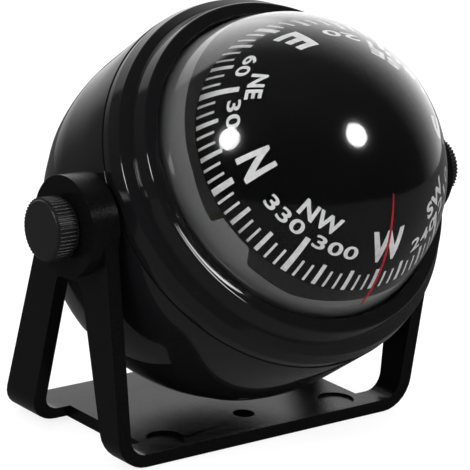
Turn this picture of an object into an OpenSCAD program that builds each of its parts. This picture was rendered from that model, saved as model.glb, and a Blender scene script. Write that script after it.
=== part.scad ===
// Ball compass for a vehicle dashboard.
// X runs along the pivot axis, -Y is the front, Z is up; the origin lies under the middle of the base.
// The ball has a frame of its own: z along its axis towards the dome, y up the dial, x as outside.

/* [Ball] */
// Outer radius of the ball's black body
body_r = 32.7; // [31:0.1:36]
// How far behind the pivot axis the round back starts
body_round_back = 6.3; // [4:0.1:9]
// How far behind the pivot axis the two body shells meet
seam_back = 15; // [13:0.1:18]
// How far in front of the pivot axis the body shell ends
body_front = 6.3; // [5.8:0.1:7.5]
// Wall of the body shells
shell_t = 2.2; // [1.6:0.1:2.6]
// Angle of the ball's axis above the horizontal
ball_tilt = 35.6; // [10:0.1:60]

/* [Dome and capsule] */
// Width of the black rim between the clear dome and the body's outside
rim_w = 5.9; // [5.6:0.1:8]
// Centre of the dome in front of the pivot axis
dome_c = 10.5; // [10:0.1:12]
// Wall of the clear dome
dome_t = 1; // [0.8:0.1:1.4]
// Wall of the bowl under the dome
bowl_t = 1.4; // [1:0.1:1.8]
// Thickness of the flanges that are clamped together
flange_t = 1.3; // [1:0.1:1.6]
// Thickness of the gasket between dome and bowl
gasket_t = 0.4; // [0.3:0.05:0.8]
// Depth of the bowl's floor behind the pivot axis
floor_back = 9; // [7:0.1:10]

/* [Bezel] */
// Height of the bezel's outer ring above the body shell
bezel_step = 5.3; // [5:0.1:8]
// Width of the flat step between the two rings
step_w = 1.3; // [1:0.1:1.6]
// Height of the inner ring above that step
bezel_lip = 3; // [2:0.1:4]
// Gap between the bezel's lip and the dome
lip_gap = 0.3; // [0.2:0.05:0.6]

/* [Dial card] */
// How much smaller the domed card's radius is than the dome's inside
card_room = 4.8; // [4.7:0.1:7]
// Depth of the card's rim below the needle's tip
card_depth = 15.2; // [13:0.1:15.4]
// Thickness of the card
card_t = 0.8; // [0.5:0.1:1]
// Gap between the top of the card and the inside of the dome
card_gap = 2.7; // [2.6:0.1:5]
// Lean of the card towards level, as it floats
card_lean = 6; // [0:0.1:6.2]
// How far the pivot post stands below the ball's axis
post_drop = 1.15; // [0:0.05:1.2]
// Radius of the pivot post
post_r = 1.6; // [1.2:0.1:2]
// Radius of the needle
needle_r = 0.45; // [0.3:0.05:0.6]
// Length of each magnet bar under the card
magnet_l = 24; // [14:0.5:26]

/* [Bracket] */
// Depth of the bracket from front to back
base_d = 35.2; // [32:0.1:44]
// Thickness of the base plate
plate_t = 2.2; // [1.6:0.1:2.8]
// Thickness of the arms
arm_t = 2.5; // [2:0.1:3.5]
// Lean of each arm away from the ball
arm_flare = 7.1; // [5:0.1:10]
// Gap between ball and arm at the height of the pivot
arm_gap = 1.3; // [1.2:0.1:3]
// Outer radius of the corners between plate and arms
corner_r = 6; // [4:0.1:8]
// Width of the upright front leg at its foot
leg_front_w = 4.8; // [3.5:0.1:7]
// Width of the raked rear leg at its foot
leg_rear_w = 8.2; // [5:0.1:9]
// Depth of the notch between the feet, from the arm's outer face
notch_d = 7.7; // [6:0.1:10]
// Radius of the screw hole in the plate
screw_hole_r = 1.9; // [1.4:0.1:2.4]
// Radius of the two shallow round recesses in the plate
recess_r = 3.3; // [2:0.1:4]

/* [Pivot] */
// Gap between the ball's round back and the base plate, as the ball stands in its rest pose
under_gap = 2.43; // [1.5:0.01:8]
// How far the pivot lies in front of the base's middle
pivot_fwd = 9.2; // [6:0.1:9.2]
// Radius of the round bosses at the top of the arms
boss_r = 8.4; // [7:0.1:9]
// Length of each boss along the pivot axis
boss_l = 5.2; // [4.5:0.1:8]
// Radius of the threaded studs
stud_r = 2; // [1.6:0.1:2.4]
// Radius of the thumb screws
knob_r = 5.3; // [4.6:0.1:7]
// Length of the thumb screws
knob_l = 3.9; // [3:0.1:8]
// Number of knurl ribs on each thumb screw
knurl_n = 48; // [24:1:64]
// Thickness of the friction washers inside the arms
pad_washer_t = 0.6; // [0.4:0.1:1.2]
// Thickness of the washers under the thumb screws
washer_t = 0.5; // [0.4:0.1:1]

/* [Screws and compensators] */
// Distance of the housing screws from the body's outside
screw_inset = 5.7; // [5:0.1:6.5]
// Radius of the two adjusting spindles
spindle_r = 2; // [1.5:0.1:2.4]
// Distance of each spindle from the ball's axis
spindle_off = 4; // [3.6:0.1:5]

/* [Hidden] */
$fn = 72;
e = 0.01;

// Fits
run_gap = 0.05;
seat_gap = 0.1;
big = 200;

// Ball body
edge = 0.35;
pad_r = body_front - edge - 0.15;
pad_h = 0.2;
body_in = body_r - shell_t;
seam_in = sqrt(pow(body_in, 2) - pow(seam_back - body_round_back, 2));
cap_inset = 0.25;
cap_r = body_r - cap_inset;
cap_in = cap_r - shell_t;
tenon_out = body_r - 1.5;
tenon_in = tenon_out - 1.6;

// Capsule: the flanges of dome and bowl lie on the shell's ledge and are clamped by the bezel
dome_r = body_r - rim_w;
dome_in = dome_r - dome_t;
bowl_out = dome_in + bowl_t;
flange_r = tenon_in - 0.4;
ledge_t = 1.2;
ledge_top = body_front + 1.5;
bowl_top = ledge_top + flange_t;
gasket_top = bowl_top + gasket_t;
flange_top = gasket_top + flange_t;
tenon_top = bowl_top - 0.1;

// Bezel
step_z = body_front + bezel_step;
lip_z = step_z + bezel_lip;
lip_in = sqrt(pow(dome_r, 2) - pow(min(lip_z - dome_c, 2), 2)) + lip_gap;
skirt_in = tenon_out + seat_gap;
ring_r = body_r - 0.7;
step_out = ring_r - 1.7;
bead_back = 0.9;
bead_front = 1.7;

// Card, in a frame whose origin is the needle's tip
card_r = dome_in - card_room;
crown_h = 1.3;
tip_z = dome_c + dome_in - card_gap - crown_h;
card_c = crown_h - card_r;
card_in = card_r - card_t;
float_top = -card_depth + 4;
float_r = sqrt(pow(card_in, 2) - pow(-card_depth + 0.2 - card_c, 2)) - seat_gap;
float_hole = 6;
magnet_w = 3;
magnet_y = 8;
jewel_r = 1.2;
hub_r = 2.6;
hub_h = 2;

// Bowl floor and diaphragm
floor_t = 1.2;
floor_z = -floor_back;
neck_r = 12;
vent_ring = 8;
vent_r = 1.8;
neck_t = 1.4;
neck_h = 3.2;
neck_z = floor_z - floor_t - neck_h;
dia_t = 0.8;
ring_t = 1.2;
post_top = tip_z - 3.5;

// The pivot's place
pivot_y = -pivot_fwd;
pivot_h = plate_t + under_gap + body_r + body_round_back * sin(ball_tilt);

// Pivot stack on each side, from the ball outwards
pad_x = body_r + pad_h;
boss_in = pad_x + pad_washer_t;
boss_x = boss_in + boss_l;
knob_in = boss_x + washer_t;
bore_r = stud_r + 0.15;
insert_r = stud_r + 1.3;
insert_l = 4.8;
insert_x = body_r - 5.2;
stud_end = insert_x + 0.5;
stud_seat = 2.4;
washer_r = knob_r - 0.7;
washer_in = stud_r + 0.2;

// Bracket
flare = tan(arm_flare);
arm_skin = arm_t / cos(arm_flare);
arm_in0 = body_r + arm_gap - pivot_h * flare;
arm_out0 = arm_in0 + arm_skin;
arm_top = pivot_h + boss_r + 1;
crown_r = boss_r - 0.1;
window_top = pivot_h - boss_r - 1.6;

// Compensators: a block on the rear cap's floor carries both spindles
block_w = 18;
block_h = 13;
block_front = -20;
block_back = -31;
ew_z = -25.5;
collar_r = spindle_r + 0.8;
collar_t = 0.8;
comp_magnet_r = 3;
comp_magnet_l = 4;
slot_w = 0.8;
slot_d = 1;

// Screws
screw_r = 1.3;
screw_head_r = 2.4;
screw_head_h = 1.8;
screw_ring = body_r - screw_inset;
screw_seat = -seam_back - 4.2;
screw_len = 10;
screw_boss_h = 7;
SCREW_ANGLES = [90, 210, 330];
block_screw_x = 6.6;
block_screw_r = 1;
block_head_r = 2;
block_head_h = 1.4;
block_sink = 3;
block_thread = 3.5;

function polar(r, a) = [r * cos(a), r * sin(a)];

// Points of an arc about a centre, from one angle to another
function arc(c, r, a0, a1, n = 8) = [for (i = [0:n]) c + polar(r, a0 + (a1 - a0) * i / n)];

// Corner b between a and c, rounded to radius r
function rounded(a, b, c, r, n = 7) =
    let (u = (a - b) / norm(a - b), v = (c - b) / norm(c - b), half = acos(u * v) / 2,
        m = (u + v) / norm(u + v), o = b + m * r / sin(half),
        p = b + u * r / tan(half) - o, q = b + v * r / tan(half) - o,
        a0 = atan2(p[1], p[0]), turn = atan2(p[0] * q[1] - p[1] * q[0], p * q))
    [for (i = [0:n]) o + polar(r, a0 + turn * i / n)];

// A ring about z from inner to outer radius
module ring(ri, ro, z0, z1) {
    translate([0, 0, z0]) difference() {
        cylinder(r = ro, h = z1 - z0);
        translate([0, 0, -1]) cylinder(r = ri, h = z1 - z0 + 2);
    }
}

// A rod along x between two places
module rod_x(r, x0, x1) {
    translate([x0, 0, 0]) rotate([0, 90, 0]) cylinder(r = r, h = x1 - x0);
}

module below(z) {
    translate([-big / 2, -big / 2, z - big]) cube(big);
}

module above(z) {
    translate([-big / 2, -big / 2, z]) cube(big);
}

// Places for what belongs to the ball, its pivot post, the card and the two ends of the pivot axis
module in_ball() {
    translate([0, pivot_y, pivot_h]) rotate([90 - ball_tilt, 0, 0]) children();
}

module in_post() {
    in_ball() translate([0, -post_drop, 0]) children();
}

module in_card() {
    in_post() translate([0, 0, tip_z]) rotate([-card_lean, 0, 0]) children();
}

module at_side(left) {
    translate([0, pivot_y, pivot_h]) if (left) mirror([1, 0, 0]) children(); else children();
}

// The bracket's front view: a plate and two arms that lean outwards, round at the corners
module u_outline() {
    top_out = arm_out0 + arm_top * flare;
    top_in = arm_in0 + arm_top * flare;
    bend_in = arm_in0 + plate_t * flare;
    right = concat(
        rounded([0, 0], [arm_out0, 0], [top_out, arm_top], corner_r),
        [[top_out, arm_top], [top_in, arm_top]],
        rounded([top_in, arm_top], [bend_in, plate_t], [0, plate_t], corner_r - arm_t));
    n = len(right);
    left = [for (i = [n - 1:-1:0]) [-right[i][0], right[i][1]]];
    polygon(concat(right, left));
}

// The side view: an upright front edge and a raked rear edge, both tangent to the round crown
module side_outline() {
    c = [pivot_y, pivot_h];
    rear = [base_d / 2, 0];
    front = [-base_d / 2, 0];
    lean_r = atan2(pivot_h, pivot_y - rear[0]) - asin(crown_r / norm(c - rear));
    lean_f = atan2(pivot_h, pivot_y - front[0]) + asin(crown_r / norm(c - front));
    polygon(concat([front, rear], arc(c, crown_r, lean_r - 90, lean_f + 90, 24)));
}

// The window between the legs, which runs on through the corner as a notch in the plate
module window_outline() {
    front = -base_d / 2 + leg_front_w;
    rear = base_d / 2 - leg_rear_w;
    top_f = [front + 3, window_top];
    top_r = [rear - window_top * 0.405, window_top];
    polygon(concat(
        [[front, -1], [rear, -1]],
        rounded([rear, -1], top_r, top_f, 2.4),
        rounded(top_r, top_f, [front, -1], 1.8)));
}

module bracket() {
    side_x = arm_out0 - notch_d;
    color([0.035, 0.035, 0.037]) difference() {
        union() {
            intersection() {
                rotate([90, 0, 0]) linear_extrude(base_d + 2, center = true) u_outline();
                rotate([90, 0, 90]) linear_extrude(big, center = true) side_outline();
            }
            for (left = [true, false]) at_side(left) rod_x(boss_r, boss_in, boss_x);
        }
        for (s = [-1, 1]) translate([s > 0 ? side_x : -big - side_x, 0, 0])
            rotate([90, 0, 90]) linear_extrude(big) window_outline();
        for (left = [true, false]) at_side(left) {
            rod_x(bore_r, boss_in - 1, boss_x + 1);
            rod_x(pad_r + 0.4, boss_in - 3, boss_in);
        }
        translate([0, pivot_y - 1.1, -1]) cylinder(r = screw_hole_r, h = plate_t + 2);
        for (s = [-1, 1]) translate([s * side_x * 0.79, pivot_y - 3.6, plate_t - 0.4])
            cylinder(r = recess_r, h = 1);
    }
}

// The front shell's hollow: a straight stretch and a round one, a ledge for the capsule and a seat above it
module housing_hollow() {
    mouth = bowl_out + 0.4;
    slope = 2.5;
    rotate_extrude($fn = 120) polygon(concat(
        [[0, -seam_back - 1], [seam_in, -seam_back - 1]],
        arc([0, -body_round_back], body_in, -asin((seam_back - body_round_back) / body_in), 0, 6),
        [[body_in, ledge_top - ledge_t - slope], [mouth, ledge_top - ledge_t],
        [mouth, ledge_top], [tenon_in, ledge_top], [tenon_in, tenon_top + 1], [0, tenon_top + 1]]));
}

// The front shell: a short tube with a round rear part, a ledge for the capsule and a boss each side
module housing_body() {
    color([0.02, 0.02, 0.022]) in_ball() difference() {
        union() {
            difference() {
                union() {
                    intersection() {
                        translate([0, 0, -body_round_back]) sphere(r = body_r);
                        translate([0, 0, -seam_back])
                            cylinder(r = body_r + 1, h = seam_back - body_round_back);
                    }
                    translate([0, 0, -body_round_back])
                        cylinder(r = body_r, h = body_front - edge + body_round_back);
                    translate([0, 0, body_front - edge]) cylinder(r1 = body_r, r2 = body_r - edge, h = edge);
                    cylinder(r = tenon_out, h = tenon_top);
                    for (s = [0, 180]) rotate([0, 0, s]) rod_x(pad_r, body_r - 2, pad_x);
                }
                housing_hollow();
            }
            for (s = [0, 180]) rotate([0, 0, s]) rod_x(insert_r + 1.3, insert_x, body_r - 1);
            for (a = SCREW_ANGLES) rotate([0, 0, a]) translate([screw_ring, 0, -seam_back])
                cylinder(r = screw_r + 1.7, h = screw_boss_h);
        }
        for (s = [0, 180]) rotate([0, 0, s]) rod_x(insert_r, insert_x - 1, pad_x + 1);
        for (a = SCREW_ANGLES) rotate([0, 0, a]) translate([screw_ring, 0, -seam_back - 1])
            cylinder(r = screw_r, h = screw_boss_h);
    }
}

// What stands inside the rear shell: the screws' columns, the block's seat and a bearing for one spindle
module cap_columns() {
    for (a = SCREW_ANGLES) rotate([0, 0, a]) translate([screw_ring, 0, -big / 2])
        cylinder(r = screw_head_r + 1, h = big / 2 - seam_back + 1);
    translate([-block_w / 2, -block_h / 2, -big / 2]) cube([block_w, block_h, block_back + big / 2]);
    translate([0, -spindle_off, ew_z]) rod_x(spindle_r + 1.6, block_w, body_r);
}

// The rear shell, a little smaller at the seam than the front one
module rear_cap() {
    c = [0, 0, -body_round_back];
    color([0.02, 0.02, 0.022]) in_ball() difference() {
        translate(c) sphere(r = cap_r);
        above(-seam_back);
        difference() {
            translate(c) sphere(r = cap_in);
            cap_columns();
        }
        for (a = SCREW_ANGLES) rotate([0, 0, a]) translate([screw_ring, 0, -big]) {
            cylinder(r = screw_head_r + 0.2, h = screw_seat + big);
            cylinder(r = screw_r + 0.2, h = big);
        }
        translate([0, spindle_off, -big]) cylinder(r = spindle_r + run_gap, h = big + block_back + 1);
        translate([0, -spindle_off, ew_z]) rod_x(spindle_r + run_gap, block_w / 2, big);
        for (s = [-1, 1]) translate([s * block_screw_x, 0, block_back - block_thread])
            cylinder(r = block_screw_r, h = block_thread + 1);
    }
}

// The bezel: a rounded outer ring, a flat step, and a smaller ring that closes on the dome
module bezel_ring() {
    z0 = body_front + 0.15;
    mid = step_out - step_w;
    outer = concat(
        [[skirt_in, z0]],
        arc([ring_r - bead_back, z0 + bead_back], bead_back, -70, -8, 5),
        [[ring_r, step_z - bead_front - 0.5]],
        arc([ring_r - bead_front, step_z - bead_front], bead_front, 4, 82),
        [[step_out, step_z], [mid + 0.15, step_z], [mid, step_z + 0.2], [mid, step_z + 0.7]],
        arc([mid - 0.6, step_z + 0.7], 0.6, 15, 55, 4),
        arc([lip_in + 0.6, lip_z - 0.5], 0.5, 50, 180, 6));
    inner = [[lip_in, flange_top + 1], [lip_in, flange_top], [flange_r + 0.2, flange_top],
        [flange_r + 0.2, tenon_top + 0.1], [skirt_in, tenon_top + 0.1]];
    color([0.015, 0.015, 0.017]) in_ball() rotate_extrude($fn = 180) polygon(concat(outer, inner));
}

module dome() {
    color([0.85, 0.88, 0.9, 0.3]) in_ball() {
        difference() {
            translate([0, 0, dome_c]) sphere(r = dome_r);
            translate([0, 0, dome_c]) sphere(r = dome_in);
            below(gasket_top);
        }
        difference() {
            ring(dome_in - 0.3, flange_r, gasket_top, flange_top);
            translate([0, 0, dome_c]) sphere(r = dome_in);
        }
    }
}

// The bowl that holds the damping liquid, with a floor, a neck for the diaphragm and the filler hole
module capsule_bowl() {
    color([0.03, 0.03, 0.03]) in_ball() difference() {
        union() {
            intersection() {
                translate([0, 0, dome_c]) sphere(r = bowl_out);
                difference() {
                    below(bowl_top);
                    below(floor_z - floor_t);
                }
            }
            ring(bowl_out - 1, flange_r, bowl_top - flange_t, bowl_top);
            ring(neck_r, neck_r + neck_t, neck_z, floor_z);
            translate([0, filler_y(), filler_z()]) rotate([filler_turn(), 0, 0])
                cylinder(r = 3, h = 2.6, center = true);
        }
        difference() {
            translate([0, 0, dome_c]) sphere(r = dome_in);
            below(floor_z);
        }
        for (a = [45:90:315]) rotate([0, 0, a]) translate([vent_ring, 0, floor_z - 2 * floor_t])
            cylinder(r = vent_r, h = 3 * floor_t);
        translate([0, -post_drop, floor_z - floor_t - 1]) cylinder(r = post_r, h = 3);
        translate([0, filler_y(), filler_z()]) rotate([filler_turn(), 0, 0])
            cylinder(r = 1.6, h = 8, center = true);
    }
    color([0.03, 0.03, 0.03]) in_post() ring(post_r, post_r + 1.6, floor_z - e, floor_z + 3);
}

// The filler hole lies on the bowl's wall, below the rim on the upper side
function filler_angle() = -38;
function filler_y() = (dome_in + bowl_t / 2) * cos(filler_angle());
function filler_z() = dome_c + (dome_in + bowl_t / 2) * sin(filler_angle());
function filler_turn() = -90 + filler_angle();

module filler_plug() {
    color([0.7, 0.6, 0.35]) in_ball() translate([0, filler_y(), filler_z()]) rotate([filler_turn(), 0, 0])
        difference() {
            union() {
                translate([0, 0, -1.3]) cylinder(r = 1.6 - e, h = 2.6);
                translate([0, 0, 1.3]) cylinder(r = 2.6, h = 1);
            }
            translate([-4, -slot_w / 2, 1.7]) cube([8, slot_w, 2]);
        }
}

module capsule_gasket() {
    color([0.05, 0.05, 0.05]) in_ball() ring(dome_in + 0.4, flange_r - 0.2, bowl_top, gasket_top);
}

// A rubber diaphragm with one rolled fold, which lets the liquid expand
module diaphragm() {
    z = neck_z - dia_t;
    fold = 3.2;
    color([0.08, 0.08, 0.08]) in_ball() rotate_extrude($fn = 96) polygon(concat(
        [[0, z], [neck_r - 2 * fold - 1, z]],
        arc([neck_r - fold - 0.6, z], fold - 0.4, 180, 0, 12),
        [[neck_r + neck_t, z], [neck_r + neck_t, z + dia_t], [neck_r - 0.4, z + dia_t]],
        arc([neck_r - fold - 0.6, z + dia_t], fold - 0.4, 0, 180, 12),
        [[neck_r - 2 * fold - 1, z + dia_t], [0, z + dia_t]]));
}

module diaphragm_ring() {
    color([0.5, 0.42, 0.25]) in_ball()
        ring(neck_r - 0.2, neck_r + neck_t, neck_z - dia_t - ring_t, neck_z - dia_t);
}

module pivot_post() {
    color([0.6, 0.5, 0.3]) in_post() difference() {
        union() {
            translate([0, 0, floor_z - floor_t])
                cylinder(r = post_r - e, h = post_top - floor_z + floor_t - 2);
            translate([0, 0, post_top - 2]) cylinder(r1 = post_r - e, r2 = needle_r + 0.3, h = 2);
        }
        translate([0, 0, post_top - 4]) cylinder(r = needle_r, h = 5);
    }
}

module pivot_needle() {
    tip_h = 1.2;
    color([0.75, 0.75, 0.77]) in_post() {
        translate([0, 0, post_top - 4]) cylinder(r = needle_r - e, h = tip_z - tip_h - post_top + 4);
        translate([0, 0, tip_z - tip_h - e]) cylinder(r1 = needle_r - e, r2 = 0.08, h = tip_h + e);
    }
}

// The red line along the dome, in the ball's middle plane
module lubber_line() {
    w = 0.7;
    t = 0.15;
    color([0.7, 0.03, 0.04]) in_ball() translate([0, 0, dome_c]) rotate([0, 90, 0])
        translate([0, 0, -w / 2]) rotate([0, 0, 180 + 29]) rotate_extrude(angle = 42, $fn = 240)
            translate([dome_r, 0]) square([t, w]);
}

// Pan-head screws that come in from the rear cap
module pan_screw(r, head_r, head_h, len) {
    difference() {
        union() {
            cylinder(r = r, h = len);
            translate([0, 0, -head_h]) cylinder(r = head_r, h = head_h);
        }
        for (a = [0, 90]) rotate([0, 0, a]) translate([-head_r * 0.6, -0.3, -head_h - 1])
            cube([head_r * 1.2, 0.6, 1.8]);
    }
}

module housing_screws() {
    color([0.55, 0.55, 0.57]) in_ball() for (a = SCREW_ANGLES) rotate([0, 0, a])
        translate([screw_ring, 0, screw_seat]) pan_screw(screw_r - e, screw_head_r, screw_head_h, screw_len);
}

module compensator_block() {
    color([0.12, 0.12, 0.12]) in_ball() difference() {
        translate([-block_w / 2, -block_h / 2, block_back])
            cube([block_w, block_h, block_front - block_back]);
        translate([0, spindle_off, block_back - 1]) cylinder(r = spindle_r + run_gap, h = big);
        translate([0, -spindle_off, ew_z]) rod_x(spindle_r + run_gap, -block_w, block_w);
        for (s = [-1, 1]) translate([s * block_screw_x, 0, block_back - 1]) {
            cylinder(r = block_screw_r + 0.2, h = big);
            translate([0, 0, block_sink + 1]) cylinder(r = block_head_r + 0.2, h = big);
        }
    }
}

module block_screws() {
    color([0.6, 0.6, 0.62]) in_ball() for (s = [-1, 1])
        translate([s * block_screw_x, 0, block_back + block_sink]) rotate([180, 0, 0])
            pan_screw(block_screw_r - e, block_head_r, block_head_h, block_sink + block_thread);
}

// A spindle along z: a slotted outer end at 0, a collar against the block, and a seat for its magnet
module spindle(collar, inner) {
    difference() {
        union() {
            cylinder(r = spindle_r, h = inner);
            translate([0, 0, collar]) cylinder(r = collar_r, h = collar_t);
        }
        translate([-spindle_r - 1, -slot_w / 2, -1]) cube([2 * spindle_r + 2, slot_w, slot_d + 1]);
    }
}

ns_back = -body_round_back - sqrt(pow(cap_r, 2) - pow(spindle_off + spindle_r, 2)) + 0.2;
ew_side = sqrt(pow(cap_r, 2) - pow(spindle_off + spindle_r, 2)
    - pow(ew_z - spindle_r + body_round_back, 2)) - 0.1;

module ns_spindle() {
    color([0.7, 0.58, 0.3]) in_ball() translate([0, spindle_off, ns_back])
        spindle(block_front - ns_back + seat_gap, block_front - ns_back + collar_t + 1);
}

module ns_magnet() {
    color([0.5, 0.5, 0.52]) in_ball() translate([0, spindle_off, block_front + collar_t + 1])
        cylinder(r = comp_magnet_r, h = comp_magnet_l - 1);
}

module ew_spindle() {
    len = ew_side + block_w / 2;
    color([0.7, 0.58, 0.3]) in_ball() translate([ew_side, -spindle_off, ew_z]) rotate([0, -90, 0])
        spindle(len + seat_gap, len + collar_t + 1);
}

module ew_magnet() {
    color([0.5, 0.5, 0.52]) in_ball() translate([-block_w / 2 - collar_t - 1, -spindle_off, ew_z])
        rotate([0, -90, 0]) cylinder(r = comp_magnet_r, h = comp_magnet_l);
}

// The domed card that carries the scale
module dial_card() {
    color([0.02, 0.02, 0.02]) in_card() difference() {
        translate([0, 0, card_c]) sphere(r = card_r, $fn = 120);
        translate([0, 0, card_c]) sphere(r = card_in, $fn = 120);
        below(-card_depth);
    }
}

module card_float() {
    low = -card_depth + 0.2;
    color([0.3, 0.3, 0.3]) in_card() rotate_extrude($fn = 96) polygon(concat(
        [[float_hole, low], [float_r, low]],
        [for (i = [1:6]) let (w = low + (float_top - low) * i / 6)
            [sqrt(pow(card_in, 2) - pow(w - card_c, 2)) - seat_gap, w]],
        [[float_hole, float_top]]));
}

module jewel_hub() {
    color([0.6, 0.5, 0.3]) in_card() rotate_extrude($fn = 48) polygon(concat(
        [[jewel_r, 0.3 - hub_h], [hub_r, 0.3 - hub_h]],
        arc([0, card_c], card_in - 0.03, acos(hub_r / card_in), acos(jewel_r / card_in), 3)));
}

// The cup bearing that sits on the needle's tip
module jewel_cup() {
    color([0.6, 0.1, 0.2]) in_card() difference() {
        translate([0, 0, -0.9]) cylinder(r = jewel_r - run_gap, h = 1.2);
        translate([0, 0, -0.9 - e]) cylinder(r1 = 0.9, r2 = 0.12, h = 0.94);
    }
}

module card_magnets() {
    color([0.45, 0.45, 0.47]) in_card() for (s = [-1, 1])
        translate([-magnet_l / 2, s * magnet_y - magnet_w / 2, -card_depth + 0.2 - magnet_w])
            cube([magnet_l, magnet_w, magnet_w]);
}

module insert() {
    color([0.75, 0.6, 0.25]) difference() {
        rod_x(insert_r - e, insert_x, insert_x + insert_l);
        rod_x(stud_r + run_gap, insert_x - 1, insert_x + insert_l + 1);
    }
}

module friction_washer() {
    color([0.06, 0.06, 0.06]) difference() {
        rod_x(pad_r, pad_x, boss_in);
        rod_x(washer_in, pad_x - 1, boss_in + 1);
    }
}

module washer() {
    color([0.08, 0.08, 0.08]) difference() {
        rod_x(washer_r, boss_x, knob_in);
        rod_x(washer_in, boss_x - 1, knob_in + 1);
    }
}

// A thumb screw: knurled round its edge, with a plain flat face and a seat for the stud
module knob() {
    rib = 0.22;
    star = [for (i = [0:2 * knurl_n - 1]) polar(knob_r - (i % 2) * 2 * rib, i * 180 / knurl_n)];
    color([0.03, 0.03, 0.032]) difference() {
        intersection() {
            translate([knob_in, 0, 0]) rotate([0, 90, 0]) linear_extrude(knob_l) polygon(star);
            translate([knob_in, 0, 0]) rotate([0, 90, 0]) rotate_extrude($fn = 120) polygon([[0, 0],
                [knob_r - 0.4, 0], [knob_r + e, 0.5], [knob_r + e, knob_l - 0.5],
                [knob_r - 0.5, knob_l], [0, knob_l]]);
        }
        rod_x(stud_r, knob_in - 1, knob_in + stud_seat);
    }
}

module stud() {
    color([0.7, 0.7, 0.72]) rod_x(stud_r - e, stud_end, knob_in + stud_seat);
}

bracket();
housing_body();
rear_cap();
bezel_ring();
dome();
capsule_bowl();
capsule_gasket();
diaphragm();
diaphragm_ring();
filler_plug();
pivot_post();
pivot_needle();
lubber_line();
housing_screws();
compensator_block();
block_screws();
ns_spindle();
ns_magnet();
ew_spindle();
ew_magnet();
dial_card();
card_float();
jewel_hub();
jewel_cup();
card_magnets();
at_side(true) insert();  // left_insert
at_side(false) insert();  // right_insert
at_side(true) friction_washer();  // left_friction_washer
at_side(false) friction_washer();  // right_friction_washer
at_side(true) washer();  // left_washer
at_side(false) washer();  // right_washer
at_side(true) knob();  // left_knob
at_side(false) knob();  // right_knob
at_side(true) stud();  // left_stud
at_side(false) stud();  // right_stud
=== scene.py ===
# %% [markdown]
# A ball compass for a dashboard: a glossy black ball hangs in a satin bracket between two thumb
# screws, and a clear dome covers a domed black dial that floats on a needle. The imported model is
# loaded first, because every piece below is built in its frame and rides on its bodies. A model
# made by eye and fitted afterwards would look the same at rest, and miss its joints when it moves.
# %% Load the frame
import math

import bmesh
import bpy
import numpy as np
from mathutils import Matrix, Vector


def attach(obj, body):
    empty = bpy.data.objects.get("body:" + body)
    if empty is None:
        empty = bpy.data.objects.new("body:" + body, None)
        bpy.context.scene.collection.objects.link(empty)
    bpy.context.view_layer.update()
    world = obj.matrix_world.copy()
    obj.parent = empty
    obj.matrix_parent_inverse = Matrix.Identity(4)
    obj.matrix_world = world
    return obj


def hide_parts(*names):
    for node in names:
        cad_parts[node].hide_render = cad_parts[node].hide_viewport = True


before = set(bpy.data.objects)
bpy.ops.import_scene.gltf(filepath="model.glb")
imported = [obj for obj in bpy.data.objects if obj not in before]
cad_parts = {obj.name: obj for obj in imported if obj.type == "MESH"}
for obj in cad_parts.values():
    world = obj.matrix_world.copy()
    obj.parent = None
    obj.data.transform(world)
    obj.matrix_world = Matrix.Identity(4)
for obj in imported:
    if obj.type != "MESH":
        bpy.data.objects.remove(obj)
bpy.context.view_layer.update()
print("nodes:", len(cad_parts))

# %% [markdown]
# All sizes are those of the part, in millimetres, and each gets its name where it is first needed.
# The ball's own frame has its z along the axis of the dome. The card's frame starts at the tip of
# the needle and leans a little towards level, and each side has a frame whose z runs outwards
# along the pivot. In these frames every profile is a plain list of radius and height. A name that
# ends in R is a radius; one in Z, LOW or TOP is a height along the z of its own frame.
# %% Sizes and frames
MM = 0.001
TILT = math.radians(35.6)
LEAN = math.radians(6.0)
PIVOT_Y = -9.2
BASE_THICK = 2.2
BALL_GAP = 2.43
BODY_R = 32.7
ROUND_BACK = 6.3
TIP_Z = 32.3
POST_DROP = 1.15

pivot = Vector((0, PIVOT_Y, BASE_THICK + BALL_GAP + BODY_R + ROUND_BACK * math.sin(TILT)))
BALL = Matrix.Translation(pivot) @ Matrix.Rotation(math.pi / 2 - TILT, 4, "X")
CARD = BALL @ Matrix.Translation((0, -POST_DROP, TIP_Z)) @ Matrix.Rotation(-LEAN, 4, "X")
SIDE = {side: Matrix.Translation(pivot) @ Matrix.Rotation(turn, 4, "Y")
        for side, turn in (("left", -math.pi / 2), ("right", math.pi / 2))}
print("pivot at %.2f mm above the ground" % pivot.z)

# %% [markdown]
# The camera stands to the left of the front and a little above, with a long lens, so the bracket's
# edges stay nearly parallel. It was solved from the photograph together with the sizes of the part.
# Euler angles would do as well, but a place, a point to look at and a roll are easier to read.
# %% Camera
def aim(position, target, roll):
    """Camera matrix from a place, a point to look at and a roll about the view."""
    back = (position - target).normalized()
    right = Vector((0, 0, 1)).cross(back).normalized()
    up = back.cross(right)
    c, s = math.cos(roll), math.sin(roll)
    axes = (right * c + up * s, up * c - right * s, back)
    rows = [[axes[j][i] for j in range(3)] + [position[i]] for i in range(3)]
    return Matrix(rows + [[0, 0, 0, 1]])


camera_data = bpy.data.cameras.new("camera")
camera_data.lens = 200.04
camera_data.sensor_width = 36
camera_data.clip_end = 50
camera = bpy.data.objects.new("camera", camera_data)
camera.matrix_world = aim(Vector((-0.27105, -0.33769, 0.15912)), Vector((0.00433, 0, 0.03108)),
                          math.radians(3.08))
bpy.context.scene.collection.objects.link(camera)
bpy.context.scene.camera = camera
bpy.context.scene.view_settings.view_transform = "Standard"
print("camera at", tuple(round(v, 3) for v in camera.location))

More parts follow.
